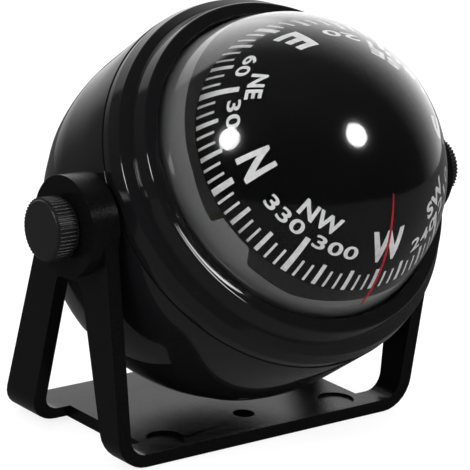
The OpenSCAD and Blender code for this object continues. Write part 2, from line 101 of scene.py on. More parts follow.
# %% [markdown]
# Shader maths can be wired by hand, node by node, but it reads best as sums and products. This
# class wraps a socket, so that an expression such as 1 - mask adds its own Math node.
# %% Shader sockets as values
class Sock:
    """An output socket of a node tree, with arithmetic."""

    def __init__(self, tree, socket):
        self.tree, self.socket = tree, socket

    def math(self, operation, *others):
        return node(self.tree, "ShaderNodeMath", [self, *others], operation=operation)

    def __add__(self, other):
        return self.math("ADD", other)

    def __sub__(self, other):
        return self.math("SUBTRACT", other)

    def __rsub__(self, other):
        return node(self.tree, "ShaderNodeMath", [other, self], operation="SUBTRACT")

    def __mul__(self, other):
        return self.math("MULTIPLY", other)

    def __pow__(self, other):
        return self.math("POWER", other)

    def __neg__(self):
        return self.math("MULTIPLY", -1.0)

    __radd__ = __add__
    __rmul__ = __mul__

    def smooth(self, low, high):
        """0 below low, 1 above high, and a smooth step between."""
        return node(self.tree, "ShaderNodeMapRange", [self, low, high],
                    interpolation_type="SMOOTHSTEP")

    def positive(self):
        """The value where it is above 0, and 0 elsewhere."""
        return self.math("MAXIMUM", 0.0)

    def other(self, out):
        """Another output of the same node."""
        return Sock(self.tree, self.socket.node.outputs[out])


print("a socket takes +, -, * and **")

# %% [markdown]
# Any other node comes from one function. Its settings come first, because they decide which
# sockets it shows, and each socket then gets a value or a link. A Math node would turn a colour
# grey, so colours are mixed by a node of their own.
# %% Adding nodes
def node(tree, kind, values=(), out=0, **settings):
    """Adds a node: its settings first, then the values or links of its sockets."""
    made = tree.nodes.new(kind)
    for key, value in settings.items():
        setattr(made, key, value)
    pairs = values.items() if isinstance(values, dict) else enumerate(values)
    for key, value in pairs:
        if isinstance(value, Sock):
            tree.links.new(value.socket, made.inputs[key])
        else:
            made.inputs[key].default_value = value
    return Sock(tree, made.outputs[out]) if made.outputs else None


def mix(tree, mask, a, b):
    """Colour a where the mask is 0, colour b where it is 1."""
    return node(tree, "ShaderNodeMix", {0: mask, 6: a, 7: b}, out=2, data_type="RGBA")


def noise(tree, place, scale, detail, rough=0.5):
    return node(tree, "ShaderNodeTexNoise",
                {"Vector": place, "Scale": scale, "Detail": detail, "Roughness": rough})


def dot(tree, vector, direction):
    """How far a vector reaches in a fixed direction."""
    return node(tree, "ShaderNodeVectorMath", {0: vector, 1: direction},
                operation="DOT_PRODUCT", out=1)


def grey(v):
    return (v, v, v, 1)


print("shader helpers ready")

# %% [markdown]
# Every finish starts from the same skeleton: a Principled shader whose even values are set on its
# own sockets, and a place in object coordinates for what varies. Object coordinates need no
# unwrapping, and every piece here has its place in its mesh, so they are the same for all.
# %% A material skeleton
def finish(name, base, rough, **even):
    """A new material with a Principled shader. Returns material, tree, shader and place."""
    material = bpy.data.materials.new(name)
    material.use_nodes = True
    tree = material.node_tree
    shader = tree.nodes["Principled BSDF"]
    shader.inputs["Base Color"].default_value = base
    shader.inputs["Roughness"].default_value = rough
    for key, value in even.items():
        shader.inputs[key.replace("_", " ")].default_value = value
    material.diffuse_color = base
    place = node(tree, "ShaderNodeTexCoord", out=3)
    return material, tree, shader, place


def feed(tree, made, socket, value):
    """Links a value to a socket of a node that is there already."""
    tree.links.new(value.socket, made.inputs[socket])


def bump(tree, shader, height, strength, distance):
    tilted = node(tree, "ShaderNodeBump",
                  {"Strength": strength, "Distance": distance, "Height": height})
    feed(tree, shader, "Normal", tilted)


print("finishes start from a Principled shader")

# %% [markdown]
# Two finishes change across the ball: the bezel is duller on its outer ring, and the frosted band
# is paler on one side. An image painted over the ball would do it, but a distance or a direction
# worked out from the pivot in the ball's own frame needs no image and no unwrapping.
# %% Places on the ball
def from_pivot(tree, place):
    return node(tree, "ShaderNodeVectorMath", {0: place, 1: pivot * MM},
                operation="SUBTRACT")


def along(tree, place, direction):
    """How far a place lies from the pivot in a direction of the ball's frame."""
    return dot(tree, from_pivot(tree, place), BALL.to_3x3() @ Vector(direction))


def off_axis(tree, place):
    """Distance of a place from the ball's axis."""
    across = node(tree, "ShaderNodeVectorMath",
                  {0: from_pivot(tree, place), 1: BALL.to_3x3() @ Vector((0, 0, 1))},
                  operation="CROSS_PRODUCT")
    return node(tree, "ShaderNodeVectorMath", {0: across}, operation="LENGTH", out=1)


print("places are measured from the pivot at", tuple(round(v, 2) for v in pivot))

# %% [markdown]
# The ball and the bezel are black plastic with a polished surface. A plain dark shader would look
# like a drawing of it, because the real surface is never perfect: it has a very low wave from the
# mould, and faint wiping marks that change how sharp a reflection is.
# %% Gloss black plastic
POLISHED = (0.0045, 0.0045, 0.005, 1)
POLISHED_WORN = (0.009, 0.009, 0.0095, 1)
OUTER_RING = (30.2 * MM, 30.6 * MM)


def gloss_black(name, rough, wave, outer=0.0):
    """Polished black with a mould's wave; outer is added to the roughness of the outer ring."""
    material, tree, shader, place = finish(name, POLISHED, rough)
    smear = noise(tree, place, 60.0, 3.0).smooth(0.45, 0.75)
    fine = noise(tree, place, 900.0, 2.0).smooth(0.62, 0.8)
    outside = off_axis(tree, place).smooth(*OUTER_RING)
    feed(tree, shader, "Roughness", smear * 0.03 + fine * 0.03 + outside * outer + rough)
    feed(tree, shader, "Base Color", mix(tree, fine, POLISHED, POLISHED_WORN))
    bump(tree, shader, noise(tree, place, 70.0, 1.0), wave, 0.4 * MM)
    return material


body_black = gloss_black("body black", 0.06, 0.012)
bezel_black = gloss_black("bezel black", 0.045, 0.008, 0.03)
print("polished:", body_black.name, "and", bezel_black.name)

# %% [markdown]
# The bracket and the thumb screws come from a finely eroded mould: the same black, but with a
# grain of a few tenths of a millimetre that breaks reflections up. Modelled grain would need
# millions of faces, so one noise drives colour, roughness and bump, which keeps the three in step.
# %% Satin black plastic
def satin_black(name, value, rough, grain, depth, mirror=0.5):
    """Grained black of a grey value; mirror says how much light it throws back."""
    material, tree, shader, place = finish(name, grey(value), rough, Specular_IOR_Level=mirror)
    cells = noise(tree, place, grain, 4.0, 0.6)
    patches = noise(tree, place, 120.0, 2.0).smooth(0.35, 0.7)
    feed(tree, shader, "Roughness", cells * 0.10 + patches * 0.05 + (rough - 0.06))
    feed(tree, shader, "Base Color",
         mix(tree, cells.smooth(0.4, 0.7), grey(value), grey(value * 1.35)))
    bump(tree, shader, cells, depth, 0.08 * MM)
    return material


bracket_black = satin_black("bracket black", 0.0025, 0.17, 2200.0, 0.45, 0.08)
knob_black = satin_black("knob black", 0.005, 0.36, 3200.0, 0.5, 0.4)
washer_black = satin_black("washer black", 0.012, 0.5, 3000.0, 0.4)
capsule_black = satin_black("capsule grey", 0.06, 0.4, 1800.0, 0.25)
rubber_black = satin_black("rubber black", 0.018, 0.72, 2200.0, 0.6)
print("plastics ready")

# %% [markdown]
# The dome is full of liquid, and liquid and plastic bend light almost equally. So the outer face
# does all the bending, which is what makes the card fill the dome; the inner face lets everything
# through and mirrors almost nothing. Faint wiping marks keep both from being perfect. A soft coat
# on the outer face gives each highlight on it a faint halo.
# %% Clear plastic
LIQUID_INDEX = 1.43


def wiping(tree, place):
    """Sparse faint marks, as a cloth leaves them."""
    return noise(tree, place, 500.0, 3.0).smooth(0.66, 0.8)


def filled_dome(name):
    """The outer face, which bends light for the plastic and the liquid behind it."""
    material, tree, shader, place = finish(
        name, grey(1.0), 0.0, Transmission_Weight=1.0, IOR=LIQUID_INDEX, Coat_Weight=1.0,
        Coat_Roughness=0.11, Coat_IOR=LIQUID_INDEX, Specular_Tint=grey(0.4))
    marks = wiping(tree, place)
    feed(tree, shader, "Roughness", marks * 0.012 + 0.004)
    feed(tree, shader, "Base Color", mix(tree, marks, grey(1.0), grey(0.985)))
    return material


def clear_plastic(name, least, most):
    """See-through face that mirrors from a least share, seen square on, to a most at a slant."""
    material, tree, shader, place = finish(name, grey(1.0), 0.012, Metallic=1.0)
    marks = wiping(tree, place)
    feed(tree, shader, "Roughness", marks * 0.05 + 0.012)
    slant = node(tree, "ShaderNodeLayerWeight", {"Blend": 0.5}, out=1)
    factor = slant ** 5.0 * (most - least) + least
    clear = node(tree, "ShaderNodeBsdfTransparent", {"Color": grey(0.985)})
    both = node(tree, "ShaderNodeMixShader", [factor, clear, Sock(tree, shader.outputs[0])])
    feed(tree, tree.nodes["Material Output"], "Surface", both)
    material.diffuse_color = (0.9, 0.95, 1, 0.3)
    return material


dome_outer = filled_dome("dome outside")
dome_inner = clear_plastic("dome inside", 0.002, 0.06)
print("clear:", dome_outer.name, "and", dome_inner.name)

# %% [markdown]
# At its foot the dome is frosted where it is bonded to the capsule. This shows as a light grey band
# between the bezel and the dial, and the band's grey is painted reflection. It is palest towards
# the top, where the most light falls in, and paler to the right: this is painted light. It is
# darker right down in the foot: this is painted shade. Real frosting scatters light inside the
# plastic, which renders slowly; a cloudy grey that follows the ball's own directions paints the
# same look.
# %% Frosted plastic with painted light
def frosted(name):
    """Cloudy grey with painted light, paler up the ball and to the right, and painted shade in the
    foot; distances are in metres.
    """
    material, tree, shader, place = finish(name, grey(0.2), 0.45)
    cloud = noise(tree, place, 90.0, 3.0)
    # Painted light and shade: these masks make the grey darker down in the foot, and paler up the
    # ball and to the right.
    foot = along(tree, place, (0, 0, 1)).smooth(0.0125, 0.0165)
    top = along(tree, place, (0.25, 0.97, 0)).smooth(0.01, 0.025)
    right = along(tree, place, (0.7, -0.7, 0)).smooth(0.006, 0.025)
    full = mix(tree, cloud, grey(0.1), grey(0.12))
    painted_light = mix(tree, top, mix(tree, right, full, grey(0.2)), grey(0.42))
    feed(tree, shader, "Base Color", mix(tree, foot, mix(tree, top, grey(0.07), grey(0.3)), painted_light))
    feed(tree, shader, "Roughness", cloud * 0.2 + 0.35)
    return material


frost_band_painted_light = frosted("frosted band")
print("frosted:", frost_band_painted_light.name)

# %% [markdown]
# The card under the liquid is matt black, and the liquid takes what gloss it had, so its mirror
# level is nil. The print is screened ink: dense white that thins out in tiny specks. The line on
# the dome is red paint, made by the same function in its own colours.
# %% Card, print and paint
def card_finish(name):
    material, tree, shader, place = finish(name, grey(0.0016), 0.6, Specular_IOR_Level=0.0)
    grain = noise(tree, place, 2500.0, 2.0).smooth(0.5, 0.8)
    feed(tree, shader, "Base Color", mix(tree, grain, grey(0.0012), grey(0.0026)))
    return material


def print_finish(name, ink, thin):
    material, tree, shader, place = finish(name, ink, 0.55, Specular_IOR_Level=0.15)
    cover = noise(tree, place, 1500.0, 3.0).smooth(0.3, 0.62)
    feed(tree, shader, "Base Color", mix(tree, cover, thin, ink))
    return material


card_black = card_finish("card black")
dial_white = print_finish("dial white", grey(0.78), grey(0.68))
lubber_red = print_finish("lubber red", (0.26, 0.007, 0.012, 1), (0.18, 0.005, 0.009, 1))
print("dial finishes ready")

# %% [markdown]
# The metal pieces are small: turned brass for inserts, spindles and the post, plated steel for
# the screws and the needle, and dull plated magnets. Real turning leaves rings, but on pieces this
# small a fine noise in roughness and bump reads the same from every side. The jewel is a tiny cup
# of synthetic ruby, a deep red under a clear gloss.
# %% Metals and the jewel
def metal(name, colour, rough, lines):
    material, tree, shader, place = finish(name, (*colour, 1), rough, Metallic=1.0)
    wear = noise(tree, place, 700.0, 3.0)
    turned = noise(tree, place, lines, 1.0)
    feed(tree, shader, "Roughness", wear * 0.12 + turned * 0.10 + (rough - 0.1))
    dark = tuple(c * 0.75 for c in colour) + (1,)
    feed(tree, shader, "Base Color", mix(tree, wear.smooth(0.4, 0.8), (*colour, 1), dark))
    bump(tree, shader, turned, 0.15, 0.03 * MM)
    return material


brass = metal("brass", (0.72, 0.53, 0.24), 0.3, 3500.0)
steel = metal("steel", (0.55, 0.55, 0.57), 0.28, 4000.0)
magnet_grey = metal("magnet", (0.32, 0.32, 0.34), 0.4, 2500.0)


def jewel_finish():
    material, tree, shader, place = finish("jewel", (0.45, 0.03, 0.1, 1), 0.08, Coat_Weight=0.5)
    depth = noise(tree, place, 1200.0, 2.0)
    feed(tree, shader, "Base Color", mix(tree, depth, (0.35, 0.02, 0.07, 1), (0.55, 0.05, 0.14, 1)))
    return material


jewel_red = jewel_finish()
print("materials:", len(bpy.data.materials))

# %% [markdown]
# Most pieces are turned shapes, so each starts as an outline of points (r, z). Real edges are
# never sharp. A Bevel modifier gives all edges one width, and here each corner has a radius of its
# own, so a helper rounds the corners in the outline, before it is spun.
# %% Outlines
def arc(centre, radius, start, end, steps):
    """Points on an arc about a centre (r, z), angles in degrees."""
    angles = np.radians(np.linspace(start, end, steps + 1))
    return [(centre[0] + radius * math.cos(a), centre[1] + radius * math.sin(a)) for a in angles]


def soften(corners, steps=5):
    """An outline with each corner (r, z, radius) rounded; corners without a radius stay."""
    points = []
    for i, corner in enumerate(corners):
        if len(corner) < 3 or corner[2] <= 0:
            points.append((corner[0], corner[1]))
            continue
        here = Vector(corner[:2])
        u = Vector(corners[i - 1][:2]) - here
        v = Vector(corners[(i + 1) % len(corners)][:2]) - here
        reach = min(u.length, v.length) * 0.49
        u.normalize()
        v.normalize()
        half = u.angle(v) / 2
        radius = min(corner[2], reach * math.tan(half))
        middle = here + (u + v).normalized() * radius / math.sin(half)
        first, last = here + u * radius / math.tan(half), here + v * radius / math.tan(half)
        a, b = first - middle, last - middle
        turn = math.atan2(a.x * b.y - a.y * b.x, a.dot(b))
        for k in range(steps + 1):
            angle = turn * k / steps
            points.append((middle.x + a.x * math.cos(angle) - a.y * math.sin(angle),
                           middle.y + a.x * math.sin(angle) + a.y * math.cos(angle)))
    return points


def flat_ring(inner, outer, low, top, inner_edge, outer_edge):
    """Outline of a flat ring with rounded edges."""
    return soften([(inner, low, inner_edge), (outer, low, outer_edge),
                   (outer, top, outer_edge), (inner, top, inner_edge)])


square = [(0, 0, 0.1), (1, 0, 0.1), (1, 1, 0.1), (0, 1, 0.1)]
print("a square with round corners has", len(soften(square)), "points")

# %% [markdown]
# Blender has a Spin tool and a Screw modifier for turned shapes. Writing the rings out takes a few
# lines more, but it closes the poles in one point, puts the piece in its frame at once and lets
# several outlines end up in one mesh.
# %% Spinning
STEPS = 128


def in_metres(place):
    """The same frame, for points given in millimetres."""
    return Matrix.Scale(MM, 4) @ place


def spin_into(bm, outline, place, steps):
    """Adds the closed outline (r, z), spun about z, to a bmesh; place is in millimetres."""
    rings = []
    for r, z in outline:
        count = 1 if r < 1e-6 else steps
        turns = [2 * math.pi * i / steps for i in range(count)]
        rings.append([bm.verts.new(in_metres(place) @ Vector((r * math.cos(a), r * math.sin(a), z)))
                      for a in turns])
    for low, high in zip(rings, rings[1:] + rings[:1]):
        for i in range(steps):
            j = (i + 1) % steps
            quad = [low[i % len(low)], low[j % len(low)], high[j % len(high)], high[i % len(high)]]
            corners = [v for k, v in enumerate(quad) if v not in quad[:k]]
            if len(corners) > 2:
                bm.faces.new(corners)


print("a turn has %d steps of %.2f degrees" % (STEPS, 360 / STEPS))

# %% [markdown]
# Every mesh becomes an object in the same way: faces outwards, smooth shading, and sharp edges only
# where two faces meet at a clear angle. Then it is told which body it rides on and which solids of
# the imported model it stands for.
# %% From mesh to piece
def to_object(name, bm, materials, sharp=32, recalc=True):
    """Turns a bmesh into a smooth-shaded object at the origin."""
    if recalc:
        bmesh.ops.recalc_face_normals(bm, faces=bm.faces[:])
    mesh = bpy.data.meshes.new(name)
    bm.to_mesh(mesh)
    bm.free()
    for material in materials:
        mesh.materials.append(material)
    mesh.shade_smooth()
    mesh.set_sharp_from_angle(angle=math.radians(sharp))
    made = bpy.data.objects.new(name, mesh)
    bpy.context.scene.collection.objects.link(made)
    return made


def spun(name, outlines, place, material, steps=STEPS, sharp=32):
    """One object from one or more closed outlines spun about the z of a frame."""
    bm = bmesh.new()
    for outline in outlines:
        spin_into(bm, outline, place, steps)
    return to_object(name, bm, [material], sharp)


def place_piece(piece, body, slot, *nodes):
    """Rides on a body and stands for CAD nodes; the slot is not used."""
    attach(piece, body)
    if nodes:
        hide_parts(*nodes)
    print("%-22s on %-18s %6d faces" % (piece.name, body, len(piece.data.polygons)))


print("helpers for pieces ready")

# %% [markdown]
# The front shell is a short tube whose back is part of a sphere. A ledge inside carries the
# capsule, a thin seat above it centres the bezel, and a flat round pad on each side faces the
# bracket's arm. A sphere could be cut with booleans, but one spun outline has its wall, ledge and
# seat at once, with clean rings of faces that mirror without dents.
# %% Front shell
SHELL_WALL = 2.2
SEAM_BACK = 15.0
REAR_STEP = 0.25
BODY_FRONT = 6.3
SEAT_R = 31.2
SEAT_IN = 29.6
SEAT_TOP = 9.0
LEDGE_IN = 27.6
LEDGE_Z = 7.8
HOLE_R = 2.2
PAD_R = 5.8
PAD_LOW = 31.5
PAD_TOP = 32.9
body_in = BODY_R - SHELL_WALL
back = SEAM_BACK - ROUND_BACK
angle_out = math.degrees(math.asin(back / BODY_R))
angle_in = math.degrees(math.asin(back / body_in))
shell = (arc((0, -ROUND_BACK), BODY_R, -angle_out + 0.4, 0, 14)
         + soften([(BODY_R, 0), (BODY_R, BODY_FRONT, 0.15), (SEAT_R, BODY_FRONT, 0.1),
                   (SEAT_R, SEAT_TOP, 0.2), (SEAT_IN, SEAT_TOP, 0.2), (SEAT_IN, LEDGE_Z),
                   (LEDGE_IN, LEDGE_Z), (LEDGE_IN, 6.6), (body_in, 4.1), (body_in, 0)])
         + arc((0, -ROUND_BACK), body_in, 0, -angle_in, 8)
         + [(BODY_R * math.cos(math.radians(angle_out)) - REAR_STEP, -SEAM_BACK)])
bm = bmesh.new()
spin_into(bm, shell, BALL, 192)
pad_outline = soften([(HOLE_R, PAD_LOW), (PAD_R, PAD_LOW), (PAD_R, PAD_TOP, 0.15),
                      (HOLE_R, PAD_TOP, 0.1)])
for side in SIDE:
    spin_into(bm, pad_outline, SIDE[side], 96)
front_shell = to_object("front_shell", bm, [body_black], 30)
place_piece(front_shell, "ball", "body_plastic", "housing_body")

# %% [markdown]
# The bezel has a slanting outer ring, a small step and a second, higher ring that closes on the
# dome. The rounding of the second ring matters more than anything else on it, because it catches
# the long thin highlight. A point just behind the rounding keeps that highlight narrow, because
# smooth shading would otherwise stretch it over the flat that follows.
# %% Bezel
BEZEL_R = 32.55
BEZEL_IN = 31.3
BEZEL_LOW = 6.45
LIP_Z = 14.6
LIP_IN = 27.02
FLANGE_ROOM = 29.4
FLANGE_TOP = 10.8
GASKET_LOW = 9.1
bezel_outline = soften([
    (BEZEL_IN, BEZEL_LOW), (BEZEL_R, BEZEL_LOW, 0.1), (BEZEL_R, 8.0, 0.2),
    (31.9, 10.3, 0.5), (30.5, 11.2, 0.03), (30.2, 11.35, 0.1), (30.2, 11.75, 0.15),
    (30.0, 11.9, 0.1), (29.4, 14.48, 0.95), (28.6, 14.52), (27.3, LIP_Z, 0.15),
    (LIP_IN, 14.4, 0.1), (LIP_IN, FLANGE_TOP), (FLANGE_ROOM, FLANGE_TOP),
    (FLANGE_ROOM, GASKET_LOW), (BEZEL_IN, GASKET_LOW)], 10)
bezel = spun("bezel", [bezel_outline], BALL, bezel_black, 256, 30)
place_piece(bezel, "ball", "bezel_plastic", "bezel_ring")

# %% [markdown]
# The dome is one moulded shell with a flange under the bezel. It bends and mirrors more than any
# other piece, and any facet in it would show, so its walls are exact arcs with many steps, which
# no sculpted or subdivided sphere would be. Its inner wall gets its own finish, so the shell has
# two material slots.
# %% Dome
DOME_R = 26.8
DOME_IN = 25.8
DOME_C = 10.5
FLANGE_R = 29.2
FLANGE_IN = 25.75
FLANGE_LOW = 9.5
flange = [(DOME_R, FLANGE_TOP), (FLANGE_R, FLANGE_TOP), (FLANGE_R, FLANGE_LOW),
          (FLANGE_IN, FLANGE_LOW)]
outer_wall = arc((0, DOME_C), DOME_R, 90, 1, 110)
outer_wall[0] = (0.0, DOME_C + DOME_R)
inner_wall = arc((0, DOME_C), DOME_IN, -2, 90, 40)
inner_wall[-1] = (0.0, DOME_C + DOME_IN)
bm = bmesh.new()
spin_into(bm, outer_wall + flange + inner_wall, BALL, 256)
bmesh.ops.recalc_face_normals(bm, faces=bm.faces[:])
centre = in_metres(BALL) @ Vector((0, 0, DOME_C))
limit = (DOME_R + DOME_IN) / 2 * MM
for face in bm.faces:
    middle = face.calc_center_median()
    face.material_index = int((middle - centre).length < limit)
dome = to_object("dome_shell", bm, [dome_outer, dome_inner], 40)
place_piece(dome, "ball", "clear_plastic", "dome")

# %% [markdown]
# The frosted band is a thin collar just inside the dome's foot, and its grey stands in for the
# reflection seen there: it is painted reflection, with painted light and shade from its finish. Its
# upper edge is uneven and rises to one wide tab on the lower left, following the outline of that
# reflection, so it can't be spun. It is lofted instead: every half degree one outline runs up along
# the dome's inner face to the height of the edge there, and back. Edge and tab are given in
# degrees: the azimuth about the dome's axis, and the angle above its foot.
# %% Frosted band, a painted reflection
BAND_R = DOME_IN - 0.12
BAND_WALL = 0.2
BAND_FOOT = 2
BAND_STEPS = 720
TAB_EDGE = 21.0
TAB_RISE = (-161.5, -159.5)
TAB_FALL = (-146.0, -140.0)
band_edge = [(-180, 18.3), (-165, 16.3), (-140, 15.2), (-120, 14.2), (-100, 16.5),
             (-85, 17.7), (0, 18.0), (90, 19.0), (150, 19.0), (180, 18.3)]


def ease(value, low, high):
    """0 up to low, 1 from high, and a smooth step between."""
    u = min(1.0, max(0.0, (value - low) / (high - low)))
    return u * u * (3 - 2 * u)


bm = bmesh.new()
rings = []
for step in range(BAND_STEPS):
    azimuth = step * 360 / BAND_STEPS - 180
    top = float(np.interp(azimuth, *zip(*band_edge)))
    in_tab = ease(azimuth, *TAB_RISE) * (1 - ease(azimuth, *TAB_FALL))
    top += (TAB_EDGE - top) * in_tab
    turned = in_metres(BALL @ Matrix.Rotation(math.radians(azimuth), 4, "Z"))
    outline = (arc((0, DOME_C), BAND_R, BAND_FOOT, top, 12)
               + arc((0, DOME_C), BAND_R - BAND_WALL, top - 0.2, BAND_FOOT, 4))
    rings.append([bm.verts.new(turned @ Vector((r, 0, z))) for r, z in outline])
for one, other in zip(rings, rings[1:] + rings[:1]):
    for k in range(len(one)):
        n = (k + 1) % len(one)
        bm.faces.new([one[k], other[k], other[n], one[n]])
band = to_object("frosted_foot_painted_reflection", bm, [frost_band_painted_light])
place_piece(band, "ball", "clear_plastic")

# %% [markdown]
# The bowl under the dome is dark grey and holds the liquid. Only its upper wall shows, in the gap
# between the card's rim and the dome, but it is whole, with a neck at the back for the diaphragm.
# Both are outlines in one mesh, since the real bowl is one moulding.
# %% Bowl
BOWL_R = 27.2
BOWL_IN = 25.76
BOWL_FLOOR = 9.0
BOWL_DEPTH = 10.2
NECK_IN = 12.0
NECK_R = 13.4
NECK_LOW = -13.4
NECK_TOP = -9.9
floor_in = math.degrees(math.asin((DOME_C + BOWL_FLOOR) / DOME_IN))
floor_out = math.degrees(math.asin((DOME_C + BOWL_DEPTH) / BOWL_R))
bowl_outline = ([(BOWL_IN, GASKET_LOW)] + arc((0, DOME_C), DOME_IN, -3.5, -floor_in, 20)
                + [(0.0, -BOWL_FLOOR), (0.0, -BOWL_DEPTH)]
                + arc((0, DOME_C), BOWL_R, -floor_out, -5.8, 20)
                + [(FLANGE_R, LEDGE_Z), (FLANGE_R, GASKET_LOW)])
neck_outline = [(NECK_IN, NECK_LOW), (NECK_R, NECK_LOW), (NECK_R, NECK_TOP), (NECK_IN, NECK_TOP)]
bowl = spun("bowl", [bowl_outline, neck_outline], BALL, capsule_black)
place_piece(bowl, "ball", "capsule_plastic", "capsule_bowl")

# %% [markdown]
# A rubber gasket seals the dome's flange, and a rubber diaphragm at the back lets the liquid grow
# and shrink with the heat. Its rolled fold is what makes it soft. It is drawn as two half circles
# one above the other, so that the sheet keeps its thickness right through the fold.
# %% Gasket and diaphragm
RUBBER_LOW = -14.2
RUBBER_UP = NECK_LOW
FOLD_MID = 8.2
FOLD_R = 2.8
FOLD_START = 4.6
gasket_outline = flat_ring(26.2, 29.0, GASKET_LOW, FLANGE_LOW, 0.1, 0.1)
gasket = spun("gasket", [gasket_outline], BALL, rubber_black)
place_piece(gasket, "ball", "soft_rubber", "capsule_gasket")
fold = arc((FOLD_MID, RUBBER_LOW), FOLD_R, 180, 0, 14)
fold_top = arc((FOLD_MID, RUBBER_UP), FOLD_R, 0, 180, 14)
sheet = ([(0.0, RUBBER_LOW), (FOLD_START, RUBBER_LOW)] + fold
         + [(NECK_R, RUBBER_LOW), (NECK_R, RUBBER_UP)] + fold_top
         + [(FOLD_START, RUBBER_UP), (0.0, RUBBER_UP)])
diaphragm = spun("rubber_diaphragm", [sheet], BALL, rubber_black, 96)
place_piece(diaphragm, "ball", "soft_rubber", "diaphragm")

# %% [markdown]
# The card is a thin dome of matt black plastic that floats on the needle. Its weight lies under
# the needle's tip, which is why a real one stays level. A half sphere with a Solidify modifier
# would do, but two arcs give the exact wall and a clean rim for the marks to end on.
# %% Dial card
CARD_R = 21.0
CARD_WALL = 0.8
CARD_TOP = 1.3
CARD_C = CARD_TOP - CARD_R
CARD_DEPTH = 15.2
rim_angle = 90 - math.degrees(math.acos((-CARD_DEPTH - CARD_C) / CARD_R))
card_out = arc((0, CARD_C), CARD_R, 90, rim_angle, 40)
card_out[0] = (0.0, CARD_C + CARD_R)
inner_rim = math.degrees(math.asin((-CARD_DEPTH - CARD_C) / (CARD_R - CARD_WALL)))
card_inner = arc((0, CARD_C), CARD_R - CARD_WALL, inner_rim, 90, 30)
card_inner[-1] = (0.0, CARD_C + CARD_R - CARD_WALL)
card = spun("card_dome", [card_out + card_inner], CARD, card_black, 192)
place_piece(card, "card", "card_plastic", "dial_card")
print("card rim %.1f degrees from its pole" % (90 - rim_angle))

# %% [markdown]
# Marks and ribs repeat, and what repeats is work for Geometry Nodes. Two helpers keep the trees
# short: one makes a tree with named inputs, the other evaluates it and hands back a plain mesh,
# because the moving bodies can't use a live modifier with instances.
# %% Helpers for Geometry Nodes
def gn_tree(name, inputs):
    """A geometry tree with named inputs; returns tree and input sockets by name."""
    tree = bpy.data.node_groups.new(name, "GeometryNodeTree")
    for label, kind in inputs.items():
        tree.interface.new_socket(label, in_out="INPUT", socket_type=kind)
    tree.interface.new_socket("Geometry", in_out="OUTPUT", socket_type="NodeSocketGeometry")
    group = tree.nodes.new("NodeGroupInput")
    return tree, {label: Sock(tree, group.outputs[label]) for label in inputs}


def gn_object(name, tree, values):
    """Evaluates a tree with these values and returns the result as a plain mesh object."""
    mesh = bpy.data.meshes.new(name)
    carrier = bpy.data.objects.new(name + "_tree", mesh)
    bpy.context.scene.collection.objects.link(carrier)
    modifier = carrier.modifiers.new("tree", "NODES")
    modifier.node_group = tree
    for item in tree.interface.items_tree:
        if item.in_out == "INPUT" and item.name in values:
            modifier[item.identifier] = values[item.name]
    graph = bpy.context.evaluated_depsgraph_get()
    result = bpy.data.meshes.new_from_object(carrier.evaluated_get(graph))
    bpy.data.objects.remove(carrier)
    result.name = name
    made = bpy.data.objects.new(name, result)
    bpy.context.scene.collection.objects.link(made)
    return made


def onto(piece, place):
    """Moves a mesh made in millimetre frames, but in metres, to its place in the row."""
    rigid = place.copy()
    rigid.translation = place.translation * MM
    piece.data.transform(rigid)
    bm = bmesh.new()
    bm.from_mesh(piece.data)
    bmesh.ops.recalc_face_normals(bm, faces=bm.faces[:])
    bm.to_mesh(piece.data)
    bm.free()


print("helpers for repeated shapes ready")

# %% [markdown]
# The scale has a mark every 5 degrees. A picture of a scale could be projected onto the card, but
# its edges would blur where the liquid magnifies them, so the print is thin mesh. A small block is
# placed along a flat strip, made real, and then wrapped onto the sphere by its own coordinates,
# where x is the heading and y the angle from the pole.
# %% The tree of the dial marks
MARK_THICK = 0.06 * MM


def marks_tree(material):
    tree, given = gn_tree("dial marks", {
        "Count": "NodeSocketInt", "Width": "NodeSocketFloat", "Length": "NodeSocketFloat",
        "Rim": "NodeSocketFloat", "Radius": "NodeSocketFloat", "Start": "NodeSocketFloat"})
    step = node(tree, "ShaderNodeMath", [math.tau, given["Count"]], operation="DIVIDE")
    half = given["Rim"] - given["Length"] * 0.5
    start = node(tree, "ShaderNodeCombineXYZ", [given["Start"], half, 0.0])
    offset = node(tree, "ShaderNodeCombineXYZ", [step, 0.0, 0.0])
    line = node(tree, "GeometryNodeMeshLine", {"Count": given["Count"], "Start Location": start,
                                               "Offset": offset})
    size = node(tree, "ShaderNodeCombineXYZ", [given["Width"], given["Length"], MARK_THICK])
    block = node(tree, "GeometryNodeMeshCube", {"Size": size, "Vertices X": 2, "Vertices Y": 8})
    placed = node(tree, "GeometryNodeInstanceOnPoints", {"Points": line, "Instance": block})
    real = node(tree, "GeometryNodeRealizeInstances", [placed])
    flat = node(tree, "GeometryNodeInputPosition")
    heading = node(tree, "ShaderNodeSeparateXYZ", [flat])
    polar, lift = heading.other(1), heading.other(2)
    reach = given["Radius"] + lift
    across = polar.math("SINE") * reach
    wrapped = node(tree, "ShaderNodeCombineXYZ", [
        -(heading.math("COSINE") * across), heading.math("SINE") * across,
        polar.math("COSINE") * reach])
    moved = node(tree, "GeometryNodeSetPosition", {"Geometry": real, "Position": wrapped})
    inked = node(tree, "GeometryNodeSetMaterial", {"Geometry": moved, "Material": material})
    node(tree, "NodeGroupOutput", {"Geometry": inked})
    return tree


marks = marks_tree(dial_white)
print("inputs of the tree:", ", ".join(item.name for item in marks.interface.items_tree))

# %% [markdown]
# One tree makes all marks: fine ones every 5 degrees, middle ones every 15, long ones at the
# half winds and the widest at the four winds. Where two kinds fall on the same heading, one lies
# a hair above the other, so that no two faces share a place. HEADING turns the whole print.
# %% Dial marks
HEADING = -2.0
RIM = math.radians(76.9)
WIDE_AT = math.radians(72)
card_centre = CARD @ Matrix.Translation((0, 0, CARD_C))
